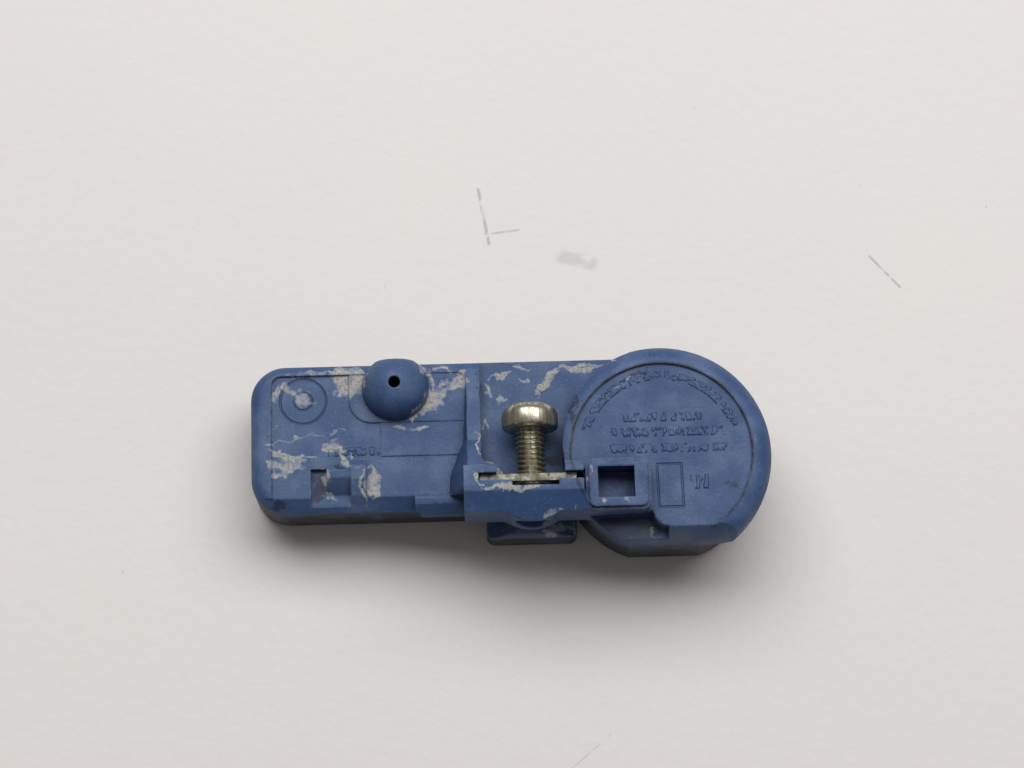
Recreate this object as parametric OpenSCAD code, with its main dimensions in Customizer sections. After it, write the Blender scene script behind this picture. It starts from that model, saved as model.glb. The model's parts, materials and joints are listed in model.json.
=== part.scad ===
// Tyre pressure sensor for a snap-in valve, lying on its base cover as it would on a table.
// A moulded housing has a flat box end, a round cell end and a screw bracket between them.
// Origin: middle of the footprint at the resting face. +X points to the cell end,
// +Y away from the valve and +Z up. All sizes are in millimetres.

/* [Box end] */
// Overall length of the sensor
body_l = 51.8; // [49:0.1:60]
// Width of the box end
box_w = 15; // [14:0.1:17]
// Height of the box end above the table
box_h = 8.7; // [8.3:0.1:10]
// How far the box's rear wall stands in from the round end's rearmost line
box_setback = 0.45; // [0.2:0.05:1]
// Plan radius of the box corners
corner_r = 3.5; // [2.5:0.1:4.5]
// Width of the bevel along the box's front top edge
front_bevel = 1.4; // [0.8:0.1:2]
// Radius along the box's top edges
edge_r = 1.3; // [0.6:0.1:1.6]
// Wall thickness of the housing
wall = 1.2; // [1:0.05:1.4]
// Thickness of the box's roof
roof_t = 1.7; // [1.5:0.1:2]
// Depth of the shallow panel inside the rim on top of the box
panel_depth = 0.25; // [0.1:0.05:0.4]
// Width of the rim round that panel
rim_w = 1.15; // [0.8:0.05:2]
// Distance of the catch notch from the left end
notch_in = 6; // [5:0.1:8]
// Width of the catch notch
notch_w = 5.5; // [4.5:0.1:6]
// Length of the catch notch, front to rear
notch_l = 4.3; // [3.5:0.1:4.8]
// Depth of the catch notch
notch_depth = 0.9; // [0.5:0.05:1.2]

/* [Round cell end] */
// How far the shoulder stands out beyond the lower wall
shoulder_out = 0.9; // [0.5:0.05:1.2]
// Height of the round end's flat top
drum_h = 12; // [11.5:0.1:14]
// Radius of the round end's shoulder
shoulder_r = 2.2; // [1:0.1:2.4]
// How far the lower wall's axis lies right of the shoulder's axis
can_dx = 0.35; // [0:0.05:0.5]
// How far the lower wall's axis lies behind the shoulder's axis
can_dy = 0.85; // [0.5:0.05:1]
// Width of the border round the recessed disc on top
disc_in = 2; // [1.8:0.1:4]
// Depth of the recessed disc
disc_depth = 0.25; // [0.1:0.05:0.5]
// Thickness from the cell space to the round end's top
drum_roof_t = 2.6; // [2.3:0.1:3]
// How far the lip on top stands in from the flattened front
front_lip = 1.4; // [1:0.1:2]
// Height at which the flattened front starts to round back
front_knee = 8.2; // [7.5:0.1:9]
// Wall between the cell space and the ledge in front of the corner boss
ledge_t = 0.4; // [0.4:0.05:1]
// Radius of the top face's corner beside that ledge
lip_corner = 1.5; // [0.8:0.1:2]

/* [Pressure port] */
// Radius of the port dome
dome_r = 3.35; // [2.5:0.05:3.6]
// Height of the dome above the box
dome_h = 2.9; // [2:0.1:3.2]
// Distance of the port from the box's rear wall
port_setback = 2.65; // [2.4:0.05:3.5]
// Distance of the port from the left end
port_inset = 14.55; // [13:0.05:16]
// Diameter of the port hole
port_d = 1.2; // [0.8:0.05:1.6]

/* [Screw] */
// Thread diameter of the screw
screw_d = 3; // [2.5:0.1:3.2]
// Length of the screw under its head
screw_l = 6; // [5.7:0.1:6.4]
// Diameter of the pan head
head_d = 5.6; // [5:0.1:5.8]
// Height of the pan head
head_h = 2.5; // [2:0.1:2.8]
// Distance across the points of the six-lobe drive
drive_d = 2.8; // [2:0.1:3]
// Depth of the drive
drive_depth = 1.2; // [0.8:0.1:1.5]
// Length of thread that shows between head and plate
screw_out = 4.9; // [4:0.1:5]
// Distance of the screw axis from the round end's axis
screw_to_drum = 12.9; // [12.6:0.1:13.4]
// Gap under the head, above the bay floor
head_gap = 0.3; // [0.2:0.05:0.6]

/* [Bracket] */
// Depth of the bay floor below the top of the box
bay_drop = 0.9; // [0.5:0.05:1.1]
// Distance of the bay's left wall from the screw axis
bay_left = 4.9; // [4.3:0.1:5.5]
// Thickness of the gusset rib left of the bay
rib_t = 1.35; // [1:0.05:1.6]
// Height of the rib where it turns steep, above the bay floor
rib_knee = 2.1; // [1:0.1:3]
// Height of the bracket above the screw axis
bracket_over = 3.4; // [3.3:0.05:3.8]
// How far the plate's seat stands in from the box's front wall
seat_in = 1.6; // [1.2:0.1:2]
// Distance from the plate's seat to the bracket's crest
bracket_t = 1.05; // [0.9:0.05:1.3]
// How far the bracket's hood overhangs the box's front wall
bracket_out = 1.4; // [1:0.05:1.8]
// Fall of the hood for each millimetre towards the valve
hood_slope = 0.52; // [0.4:0.02:0.54]
// How far the hood swells out over the valve hole
hood_bulge = 0.9; // [0.5:0.05:1]
// Width of that swelling
hood_bulge_w = 5.4; // [4.5:0.1:6]
// Length of the low wing left of the bracket
wing_l = 5.3; // [3:0.1:7]
// Diameter of the valve hole
bore_d = 3.4; // [3.3:0.05:3.5]
// Width of the left lug behind the plate
lug_w = 1.8; // [1.2:0.1:2]
// Width of the right lug behind the plate
lug_end_w = 1.9; // [1.2:0.1:2]
// Distance from the corner boss's left side to the round end's axis
boss_in = 7.6; // [7.3:0.1:7.7]
// Width of the square corner boss
boss_w = 6.4; // [5.6:0.1:7]
// Depth of the corner boss, front to rear
boss_l = 5.2; // [4.8:0.1:5.6]
// Height of the corner boss above the round end
boss_rise = 1.4; // [0.8:0.1:1.6]
// Width of the pocket in the corner boss
pocket_w = 3.6; // [3:0.1:4]
// Length of the pocket, front to rear
pocket_l = 3.1; // [2.6:0.1:3.3]
// Depth of the pocket
pocket_depth = 3; // [2:0.1:3.2]
// Width of the snout under the valve
snout_w = 9.1; // [7:0.1:9.6]
// How far the snout stands out of the box's front wall
snout_out = 2.6; // [1.5:0.1:3]
// Height of the snout's top above the table
snout_h = 6.1; // [4:0.1:6.6]

/* [Retaining plate] */
// Length of the plate
plate_w = 9.5; // [8.4:0.1:9.7]
// Thickness of the plate
plate_t = 0.7; // [0.5:0.05:0.9]
// Height of the plate
plate_h = 5.4; // [4.9:0.05:5.6]
// Gap on each face of the plate in its slot
plate_play = 0.05; // [0.02:0.01:0.1]
// Gap at the left end of the plate
plate_end_play = 0.1; // [0.05:0.05:0.3]
// Gap at the right end of the plate
plate_spare = 0.8; // [0.3:0.1:1]
// Radial clearance of the screw in the plate
screw_play = 0.05; // [0.02:0.01:0.08]

/* [Base cover] */
// Thickness of the base cover
cover_t = 1.4; // [1:0.1:1.6]
// How far the cover's edge stands in from the housing's wall
cover_inset = 0.3; // [0.1:0.05:0.5]
// Height of the locating rib on the cover
cover_rib_h = 1; // [0.5:0.1:1.5]
// Thickness of the locating rib
cover_rib_t = 0.8; // [0.6:0.1:1]
// Gap between the locating rib and the housing
cover_play = 0.1; // [0.05:0.05:0.2]

/* [Board and cell] */
// Height of the board posts above the cover
post_h = 2.3; // [2:0.1:2.4]
// Thickness of the circuit board
board_t = 1; // [0.8:0.1:1.2]
// Gap round the circuit board
board_play = 0.4; // [0.2:0.05:0.6]
// Diameter of the coin cell
cell_d = 16; // [14:0.1:16.4]
// Thickness of the coin cell
cell_t = 3.2; // [2.5:0.1:3.4]
// Gap between the coin cell and the round wall
cell_play = 0.9; // [0.75:0.05:1.2]
// Gap between the coin cell and the flattened front
cell_front_play = 0.1; // [0.05:0.05:0.3]
// Thickness of the cell's contact strips
tab_t = 0.25; // [0.15:0.05:0.3]
// Width of the contact strips
tab_w = 4; // [3:0.1:5]
// Length of the pressure chip
chip_l = 7; // [5:0.1:7.4]
// Width of the pressure chip
chip_w = 5; // [4:0.1:5.2]
// Thickness of the pressure chip
chip_t = 1.7; // [1.4:0.1:1.9]
// Side of the radio chip
radio_w = 4; // [3:0.1:4.2]
// Length of the wake-up coil
coil_l = 7.4; // [6:0.1:8]
// Width of the wake-up coil
coil_w = 2.6; // [2:0.1:2.8]
// Height of the wake-up coil
coil_h = 2; // [1.6:0.1:2.1]
// Distance of the wake-up coil from the left end
coil_inset = 4.4; // [4:0.1:4.6]
// Length of the wire antenna
antenna_l = 14; // [10:0.5:16]
// Height of the wire antenna above the board
antenna_h = 1.4; // [0.8:0.1:1.6]
// Distance of the first small part from the left end
small_inset = 8.4; // [8:0.1:8.8]
// Distance from one small part to the next
small_pitch = 2.6; // [2.2:0.1:2.8]
// Distance of the capacitors from the box's front wall
capacitor_in = 6.9; // [6.6:0.1:7]
// Distance of the resistors from the box's front wall
resistor_in = 4.9; // [4.6:0.1:5]
// Number of capacitors
capacitor_count = 5; // [1:1:5]
// Number of resistors
resistor_count = 4; // [1:1:5]
// Number of inductors
inductor_count = 2; // [1:1:2]

/* [Hidden] */
$fn = 48;

// A cut runs this far past the face it opens
over = 1;

// Radii of the round end, built up from the coin cell it holds
cell_shift = 0.15;
can_r = cell_d / 2 + cell_play + wall;
drum_r = can_r + shoulder_out;
drum_flat = cell_d / 2 - can_dy + cell_shift + cell_front_play + wall;
disc_r = drum_r - disc_in;

// Plan of the housing
box_left = -body_l / 2;
drum_x = body_l / 2 - drum_r;
drum_y = -(drum_r - drum_flat) / 2;
drum_front = drum_y - drum_flat;
box_back = drum_y + drum_r - box_setback;
box_front = box_back - box_w;
can_x = drum_x + can_dx;
can_y = drum_y + can_dy;
port_x = box_left + port_inset;
port_y = box_back - port_setback;
screw_x = drum_x - screw_to_drum;

// Levels above the table
roof_z = box_h - roof_t;
panel_z = box_h - panel_depth;
bay_z = box_h - bay_drop;
screw_z = bay_z + head_d / 2 + head_gap;
bracket_z = screw_z + bracket_over;
cell_roof_z = drum_h - drum_roof_t;
boss_z = drum_h + boss_rise;
board_z = cover_t + post_h;
board_top = board_z + board_t;
cell_z = board_top + tab_t;
chip_top = board_top + chip_t;

// Bay, slot and bracket
bay_x = screw_x - bay_left;
bay_end = drum_x - 2.9;
seat_y = box_front + seat_in;
plate_front = seat_y + plate_play;
plate_back = plate_front + plate_t;
slot_back = plate_back + plate_play;
lug_t = 0.8;
lug_blend = 1.3;
lug_back = slot_back + lug_t;
head_y = plate_back + screw_out;
plate_x = screw_x - 0.35;
slot_x0 = plate_x - plate_w / 2 - plate_end_play;
slot_x1 = plate_x + plate_w / 2 + plate_spare;
crest_y = seat_y - bracket_t;
crest_drop = 0.4;
hood_y = box_front - bracket_out;
bulge_y = hood_y - hood_bulge;
hood_left = bay_x - rib_t - 0.4;
knee_y = lug_back + 3.4;
boss_left = drum_x - boss_in;
boss_rear = box_front + 3.75;
boss_front = boss_rear - boss_l;
boss_corner = 0.9;
pocket_x = boss_left + 1.2;
pocket_rear = boss_rear - 0.9;
relief_x = screw_x + 0.4;
relief_w = 4.6;
relief_t = 0.6;

// Draft of the rib's left face, sideways for each millimetre of height
rib_draft = 0.33;
// Board posts stand this far in from the space's walls
post_in = 1.3;
post_r = 0.9;
peg_r = 0.7;

// Small parts on the board
chip_y = port_y - 1.3;
seal_r = 1.3;
lead_w = 0.4;
lead_pitch = 1.27;
lead_l = 0.7;
small_x = box_left + small_inset;
capacitor_y = box_front + capacitor_in;
resistor_y = box_front + resistor_in;
coil_x = box_left + coil_inset;
coil_y = (box_front + box_back) / 2 + 0.5;
coil_neck = 1.1;
flange_t = 0.8;
wire_r = 0.4;
antenna_y = box_front + wall + 1.4;
antenna_x0 = coil_x + 1.6;
antenna_x1 = antenna_x0 + antenna_l;
antenna_z = board_top + antenna_h;
radio_x = screw_x - 4.6;
radio_y = capacitor_y + 1.6;
radio_t = 0.9;
crystal_x = screw_x - 3.2;
inductor_x = screw_x + 1.6;
inductor_y = capacitor_y + 1;

// Length, width and height of the small parts
crystal_size = [3.2, 2.5, 0.8];
capacitor_size = [1.6, 0.8, 0.8];
resistor_size = [1.6, 0.8, 0.45];
inductor_size = [2, 1.25, 1.2];

// Rounded square from (x0, y0) to (x1, y1), drawn with true arcs
module round_rect(x0, y0, x1, y1, r) {
    translate([x0 + r, y0]) square([x1 - x0 - 2 * r, y1 - y0]);
    translate([x0, y0 + r]) square([x1 - x0, y1 - y0 - 2 * r]);
    for (x = [x0 + r, x1 - r], y = [y0 + r, y1 - r]) translate([x, y]) circle(r);
}

// Plan of the round end's lower wall, moved in by the inset
module can_plan(inset) {
    intersection() {
        translate([can_x, can_y]) circle(can_r - inset);
        translate([can_x - can_r, drum_front + inset]) square([2 * can_r, 3 * can_r]);
    }
}

// Plan of box and round end together, moved in by the inset
module body_plan(inset) {
    union() {
        round_rect(box_left + inset, box_front + inset, drum_x, box_back - inset, corner_r - inset);
        can_plan(inset);
    }
}

// Solid drawn in Y and Z and run along X from x0 to x1
module along_x(x0, x1) {
    translate([x0, 0, 0]) rotate([90, 0, 90]) linear_extrude(x1 - x0) children();
}

// Round bar along Y from y0 to y1, centred on the screw axis
module on_screw_axis(y0, y1, d) {
    translate([screw_x, y1, screw_z]) rotate([90, 0, 0]) cylinder(h = y1 - y0, d = d);
}

// Upper right quarter of a section whose outer top edge is rounded
module rounded_edge(w, h, r) {
    square([w - r, h]);
    square([w, h - r]);
    translate([w - r, h - r]) circle(r);
}

// Box end: quarter-round corner posts with straight runs between them
module box_shell() {
    h = box_h - cover_t;
    translate([0, 0, cover_t]) {
        for (c = [[box_front + corner_r, 180], [box_back - corner_r, 90]])
            translate([box_left + corner_r, c[0], 0]) rotate([0, 0, c[1]])
                rotate_extrude(angle = 90) rounded_edge(corner_r, h, edge_r);
        translate([box_left + corner_r, box_back - corner_r, 0]) rotate([90, 0, 0])
            linear_extrude(box_w - 2 * corner_r)
                mirror([1, 0]) rounded_edge(corner_r, h, edge_r);
        translate([box_left + corner_r, (box_front + box_back) / 2, 0]) rotate([90, 0, 90])
            linear_extrude(drum_x - box_left - corner_r) {
                rounded_edge(box_w / 2, h, edge_r);
                mirror([1, 0]) rounded_edge(box_w / 2, h, edge_r);
            }
    }
}

// Bevel along the box's front top edge
module bevel_cut() {
    fall = 1.1;
    along_x(box_left - over, drum_x)
        polygon([[box_front + front_bevel, box_h + over], [box_front + front_bevel, panel_z],
                 [box_front, panel_z - fall], [box_front - over, panel_z - fall],
                 [box_front - over, box_h + over]]);
}

// Round end: a lower wall, and a wider shoulder with a torus edge that starts above it
module drum_shell() {
    rim_z = drum_h - shoulder_r;
    intersection() {
        difference() {
            union() {
                translate([can_x, can_y, cover_t]) cylinder(h = rim_z - cover_t, r = can_r);
                difference() {
                    drum_shoulder(rim_z);
                    flare_cut();
                }
            }
            ledge_cut();
        }
        along_x(drum_x - 2 * drum_r, drum_x + 2 * drum_r) front_slope();
    }
}

// Shoulder of the round end: a flare, a short upright band and a quarter-round top edge
module drum_shoulder(rim_z) {
    flare_z = rim_z - 1;
    foot_z = flare_z - 1.6;
    translate([drum_x, drum_y, 0]) rotate_extrude() {
        polygon([[0, foot_z], [can_r - can_dx, foot_z], [drum_r, flare_z], [drum_r, rim_z],
                 [0, rim_z]]);
        translate([0, rim_z]) square([drum_r - shoulder_r, shoulder_r]);
        intersection() {
            translate([drum_r - shoulder_r, rim_z]) circle(shoulder_r);
            translate([drum_r - shoulder_r, rim_z]) square(shoulder_r);
        }
    }
}

// Takes the shoulder back to the lower wall in front of the bracket and the corner boss
module flare_cut() {
    linear_extrude(2 * drum_h) difference() {
        translate([drum_x - 2 * drum_r, drum_y - 2 * drum_r])
            square([2 * drum_r - 2.4, 2 * drum_r - 0.8]);
        translate([can_x, can_y]) circle(can_r);
    }
}

// Low ledge in front of the corner boss, which leaves a round corner on the top face
module ledge_cut() {
    ledge_x = drum_x + 0.5;
    translate([0, 0, cell_roof_z + ledge_t]) linear_extrude(drum_h) difference() {
        translate([drum_x - 2 * drum_r, drum_y - 2 * drum_r])
            square([ledge_x - drum_x + 2 * drum_r, boss_front + 0.1 - drum_y + 2 * drum_r]);
        translate([ledge_x, boss_front + 0.1]) circle(lip_corner);
    }
}

// Section of the flattened front: upright below, rounded back to the lip above
module front_slope() {
    rise = drum_h - front_knee;
    round_r = (front_lip * front_lip + rise * rise) / (2 * front_lip);
    back = drum_y + drum_r + over;
    translate([drum_front, 0]) square([back - drum_front, front_knee]);
    translate([drum_front + round_r, 0]) square([back - drum_front - round_r, drum_h]);
    intersection() {
        translate([drum_front + round_r, front_knee]) circle(round_r);
        translate([drum_front, front_knee]) square([2 * round_r, rise]);
    }
}

// Recessed disc on the round end, running out over the front lip
module disc_recess() {
    translate([drum_x, drum_y, drum_h - disc_depth]) cylinder(h = over + disc_depth, r = disc_r);
}

// Space for the screw head: open above and to the rear, bounded by the lower wall's circle
module bay_cut() {
    translate([0, 0, bay_z]) linear_extrude(drum_h) difference() {
        translate([bay_x, lug_back]) square([bay_end - bay_x, 2 * drum_r]);
        translate([can_x, can_y]) circle(can_r);
    }
}

// Shallow panel on the box, leaving the dome's raised patch and a lower step beside it
module panel_cut() {
    patch_r = 2.3;
    patch_step = 0.15;
    patch_x = port_x - 4.65;
    patch_y = port_y - 3.45;
    step_x = port_x - 1.5;
    step_y = port_y - 6.9;
    step_h = 0.08;
    far = bay_x - rib_t;
    difference() {
        translate([0, 0, panel_z]) linear_extrude(over)
            round_rect(box_left + edge_r + 0.8, box_front - corner_r, far,
                       box_back - rim_w, 1);
        translate([0, 0, panel_z - over]) linear_extrude(over + patch_step)
            round_rect(patch_x, patch_y, far + patch_r, box_back + patch_r, patch_r);
        translate([0, 0, panel_z - over]) linear_extrude(over + step_h)
            translate([step_x, step_y]) square([far - step_x, patch_y + patch_r - step_y]);
    }
}

// Sphere cap round the pressure port, cut flush with the box's rear wall
module port_dome() {
    ball_r = (dome_r * dome_r + dome_h * dome_h) / (2 * dome_h);
    intersection() {
        translate([port_x, port_y, box_h + dome_h - ball_r]) sphere(ball_r);
        translate([port_x - dome_r, port_y - dome_r, box_h - roof_t / 2])
            cube([2 * dome_r, dome_r + port_setback, dome_h + roof_t]);
    }
}

// One straight stretch of the gusset rib: a thin post at each end with a drafted left foot
module rib_stretch(y0, z0, y1, z1) {
    eps = 0.01;
    hull() for (p = [[y0, z0], [y1, z1]]) {
        foot = rib_draft * (p[1] - bay_z);
        translate([bay_x - rib_t, p[0], bay_z]) cube([rib_t, eps, p[1] - bay_z]);
        translate([bay_x - rib_t - foot, p[0], bay_z]) cube([rib_t, eps, eps]);
    }
}

// Gusset rib that climbs from the rear rim to the bracket, steeper near the bracket
module gusset_rib() {
    rib_stretch(box_back - rim_w, box_h, knee_y, bay_z + rib_knee);
    rib_stretch(knee_y, bay_z + rib_knee, lug_back, bracket_z - crest_drop);
    rib_stretch(lug_back, bracket_z - crest_drop, crest_y + 0.6, bracket_z);
}

// Section of the bracket: upright behind, with a hood that slopes down over the valve hole
module bracket_section() {
    foot_z = bay_z - 0.6;
    under_z = bay_z + 0.3;
    polygon([[lug_back, foot_z], [lug_back, bracket_z - crest_drop], [crest_y + 0.6, bracket_z],
             [crest_y, bracket_z], [bulge_y, bracket_z - hood_slope * (crest_y - bulge_y)],
             [bulge_y, under_z], [hood_y, under_z - 0.3], [box_front + wall / 2, foot_z - 1.2]]);
}

// Bracket with a slanting right end, and a swelling over the valve hole
module bracket() {
    right = boss_left - 0.2;
    bulge_r = (hood_bulge_w * hood_bulge_w / 4 + hood_bulge * hood_bulge) / (2 * hood_bulge);
    intersection() {
        along_x(hood_left, right + 2 * over) bracket_section();
        linear_extrude(2 * bracket_z)
            polygon([[hood_left - over, lug_back + over], [right, lug_back + over], [right, crest_y],
                     [right + 0.8, hood_y], [hood_left - over, hood_y]]);
    }
    intersection() {
        along_x(screw_x - hood_bulge_w / 2, screw_x + hood_bulge_w / 2) bracket_section();
        translate([screw_x, bulge_y + bulge_r, 0]) cylinder(h = 2 * bracket_z, r = bulge_r);
        translate([screw_x - hood_bulge_w, bulge_y - over, 0])
            cube([2 * hood_bulge_w, hood_bulge + 2 * over, 2 * bracket_z]);
    }
}

// Block behind the plate's right end, in line with the corner boss
module end_lug() {
    x0 = slot_x1 - lug_end_w;
    translate([x0, lug_back - lug_t / 2, bay_z - 0.6])
        cube([boss_left + boss_corner - x0, boss_rear - lug_back + lug_t / 2, bracket_z - 1.5 - bay_z]);
}

// Everything taken out of the bracket: the slot, the space between the lugs, a relief
// in front of the plate and the valve hole
module bracket_cut() {
    slot_z = bay_z + bracket_z;
    lug_x = slot_x0 + lug_w;
    lug_gap = slot_x1 - lug_end_w - lug_x;
    translate([slot_x0, seat_y, bay_z]) cube([slot_x1 - slot_x0, slot_back - seat_y, slot_z]);
    translate([lug_x, seat_y, bay_z]) cube([lug_gap, lug_back + over - seat_y, slot_z]);
    translate([relief_x - relief_w / 2, seat_y - relief_t, bay_z])
        cube([relief_w, relief_t + plate_play, slot_z]);
    on_screw_axis(bulge_y - over, seat_y + over, bore_d);
}

// Concave blend between the rib and the left lug, no higher than the rib
module lug_fillet() {
    top_z = bracket_z - crest_drop;
    intersection() {
        translate([0, 0, bay_z]) linear_extrude(bracket_z - bay_z) difference() {
            translate([bay_x - over, slot_back]) square([lug_blend + over, lug_blend + lug_t]);
            translate([bay_x + lug_blend, lug_back + lug_blend]) circle(lug_blend);
        }
        along_x(bay_x - over, bay_x + lug_blend)
            polygon([[slot_back, 0], [slot_back, top_z], [lug_back, top_z],
                     [knee_y, bay_z + rib_knee], [knee_y, 0]]);
    }
}

// Low wing that carries the bracket's front edge on along the box, with a round left end
module wing() {
    wing_x = bay_x - rib_t - wing_l;
    wing_out = 0.65;
    end_r = 1.5;
    intersection() {
        along_x(wing_x, bay_x)
            polygon([[box_front + wall, roof_z + 0.4], [box_front + wall + 0.3, box_h - 0.1],
                     [box_front + wall - 0.1, box_h + 0.2], [box_front + wall - 0.7, box_h + 0.15],
                     [box_front, box_h - 0.25], [box_front - wing_out + 0.05, box_h - 0.9],
                     [box_front - wing_out, box_h - 1.3], [box_front + 0.1, box_h - 2]]);
        linear_extrude(2 * box_h) round_rect(wing_x, box_front - wing_out - 0.2, bay_x + 2 * end_r,
                                             box_front + 3 * end_r, end_r);
    }
}

// Square corner boss with its pocket, on the edge of the round end
module corner_boss() {
    foot_z = bay_z - 0.6;
    top_r = 0.35;
    translate([0, 0, foot_z]) linear_extrude(boss_z - top_r - foot_z)
        round_rect(boss_left, boss_front, boss_left + boss_w, boss_front + boss_l, boss_corner);
    translate([0, 0, boss_z - top_r]) linear_extrude(top_r)
        round_rect(boss_left + top_r, boss_front + top_r, boss_left + boss_w - top_r,
                   boss_front + boss_l - top_r, boss_corner - top_r);
}

// Square pocket in the corner boss
module pocket_cut() {
    translate([pocket_x, pocket_rear - pocket_l, boss_z - pocket_depth])
        cube([pocket_w, pocket_l, pocket_depth + over]);
}

// Snout that carries the valve from below: a low block with a crowned top and round ends
module snout() {
    y0 = box_front - snout_out;
    crown_r = 9;
    difference() {
        intersection() {
            translate([0, 0, cover_t]) linear_extrude(snout_h)
                round_rect(screw_x - snout_w / 2, y0, screw_x + snout_w / 2,
                           box_front + 2 * wall, 0.8);
            translate([screw_x, box_front + wall / 2, snout_h - crown_r]) rotate([90, 0, 0])
                cylinder(h = snout_out + wall, r = crown_r, $fn = 96);
            along_x(screw_x - snout_w, screw_x + snout_w)
                polygon([[y0, 0], [y0, snout_h - 0.9], [y0 + 0.3, snout_h - 0.3],
                         [y0 + 0.9, snout_h], [box_front + wall / 2, snout_h],
                         [box_front + wall / 2, 0]]);
        }
        translate([screw_x - snout_w / 2 + wall, y0 + wall, 0])
            cube([snout_w - 2 * wall, snout_out - wall - 0.2, snout_h - 2 * wall]);
    }
}

// Notch in the box's front edge that holds a small catch with a sloping face
module notch_cut() {
    translate([box_left + notch_in, box_front - over, box_h - notch_depth])
        cube([notch_w, notch_l + over, notch_depth + over]);
}

// Catch in the notch: a steep wedge on the left and a rounded ridge on the right
module catch_block() {
    x0 = box_left + notch_in + 1.6;
    x1 = x0 + 2.4;
    y1 = box_front + notch_l;
    foot_z = roof_z + 0.1;
    along_x(x0, x1)
        polygon([[y1 + 0.3, foot_z], [y1 + 0.3, box_h], [y1 - 0.3, box_h + 0.6],
                 [y1 - 1, box_h + 0.5], [y1 - 3, box_h - 1.2], [box_front + 0.3, box_h - 1.4],
                 [box_front + 0.3, foot_z]]);
    along_x(x1, x0 + notch_w - 1.6)
        polygon([[y1 + 0.9, foot_z], [y1 + 0.9, panel_z], [y1 + 0.2, box_h + 0.5],
                 [y1 - 1.2, box_h + 0.6], [y1 - 2.8, box_h - 0.1], [box_front + 0.5, box_h - 1],
                 [box_front + 0.5, foot_z]]);
}

// Pegs under the roof that hold the board down on the cover's posts
module at_posts() {
    for (x = [box_left + wall + post_in, drum_x - can_r - 1.4],
         y = [box_front + wall + post_in, box_back - wall - post_in])
        translate([x, y, 0]) children();
}

// Moulded housing, one piece, open below
module housing() {
    color("#4F6488") {
        difference() {
            union() {
                difference() {
                    union() {
                        difference() {
                            box_shell();
                            panel_cut();
                            bevel_cut();
                            notch_cut();
                        }
                        drum_shell();
                    }
                    bay_cut();
                    disc_recess();
                }
                catch_block();
                port_dome();
                gusset_rib();
                bracket();
                end_lug();
                lug_fillet();
                wing();
                corner_boss();
                snout();
            }
            bracket_cut();
            pocket_cut();
            translate([0, 0, cover_t - over]) linear_extrude(roof_z - cover_t + over)
                body_plan(wall);
            translate([0, 0, cover_t]) linear_extrude(cell_roof_z - cover_t) can_plan(wall);
            translate([port_x, port_y, roof_z - over]) cylinder(h = dome_h + roof_t + 2 * over, d = port_d);
        }
        at_posts() translate([0, 0, board_top]) cylinder(h = roof_z + roof_t / 2 - board_top, r = peg_r);
    }
}

// Flat cover welded under the housing, with a locating rib and posts for the board
module base_cover() {
    color("#2B2F36") {
        linear_extrude(cover_t) body_plan(cover_inset);
        translate([0, 0, cover_t]) linear_extrude(cover_rib_h) difference() {
            body_plan(wall + cover_play);
            body_plan(wall + cover_play + cover_rib_t);
        }
        at_posts() translate([0, 0, cover_t]) cylinder(h = post_h, r = post_r);
        for (a = [20, 130, 250])
            translate([can_x + 7 * cos(a), can_y + 7 * sin(a), cover_t]) cylinder(h = post_h, r = post_r);
    }
}

// Thin steel plate in the bracket's slot, with a hole for the screw
module retaining_plate() {
    color("#8E8F84") difference() {
        translate([plate_x - plate_w / 2, plate_front, bay_z]) cube([plate_w, plate_t, plate_h]);
        on_screw_axis(plate_front - over, plate_back + over, screw_d + 2 * screw_play);
    }
}

// Six-lobe drive, drawn as a round core with six round lobes
module six_lobe(d) {
    lobe_r = 0.13 * d;
    circle(0.39 * d);
    for (a = [0 : 60 : 300]) rotate(a) translate([d / 2 - lobe_r, 0]) circle(lobe_r);
}

// Pan head screw, pointing at the valve, with its head in the bay
module screw() {
    crown = 0.9;
    crown_r = 0.62;
    tip = 0.4;
    color("#A7A49B") translate([screw_x, head_y, screw_z]) rotate([-90, 0, 0]) {
        difference() {
            rotate_extrude() polygon([
                [0, -screw_l], [screw_d / 2 - tip, -screw_l], [screw_d / 2, tip - screw_l],
                [screw_d / 2, 0], [head_d / 2 - 0.15, 0], [head_d / 2, 0.15],
                [head_d / 2, head_h - crown], [head_d / 2 * 0.93, head_h - 0.45 * crown],
                [head_d / 2 * 0.8, head_h - 0.15 * crown], [head_d / 2 * crown_r, head_h],
                [0, head_h]]);
            translate([0, 0, head_h - drive_depth]) linear_extrude(drive_depth + over) six_lobe(drive_d);
        }
    }
}

// Circuit board that fills the box and the round end
module circuit_board() {
    color("#1F5A3C") translate([0, 0, board_z]) linear_extrude(board_t)
        body_plan(wall + board_play);
}

// Coin cell: a can with a slightly smaller lower face
module coin_cell() {
    step = 0.3;
    color("#B9BCC0") translate([can_x, can_y - cell_shift, cell_z]) rotate_extrude()
        polygon([[0, 0], [cell_d / 2 - 0.9, 0], [cell_d / 2 - 0.9, step], [cell_d / 2 - 0.3, step],
                 [cell_d / 2, step + 0.3], [cell_d / 2, cell_t - 0.3], [cell_d / 2 - 0.3, cell_t],
                 [0, cell_t]]);
}

// Contact strip over the cell, with a leg down to the board
module tab_positive() {
    leg_x = can_x - cell_d / 2 - 0.7;
    top = cell_z + cell_t;
    color("#C9C3A5") translate([0, can_y + tab_w / 2, 0]) rotate([90, 0, 0]) linear_extrude(tab_w)
        polygon([[leg_x - 1.2, board_top], [leg_x + tab_t, board_top], [leg_x + tab_t, top],
                 [can_x, top], [can_x, top + tab_t], [leg_x, top + tab_t],
                 [leg_x, board_top + tab_t], [leg_x - 1.2, board_top + tab_t]]);
}

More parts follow.
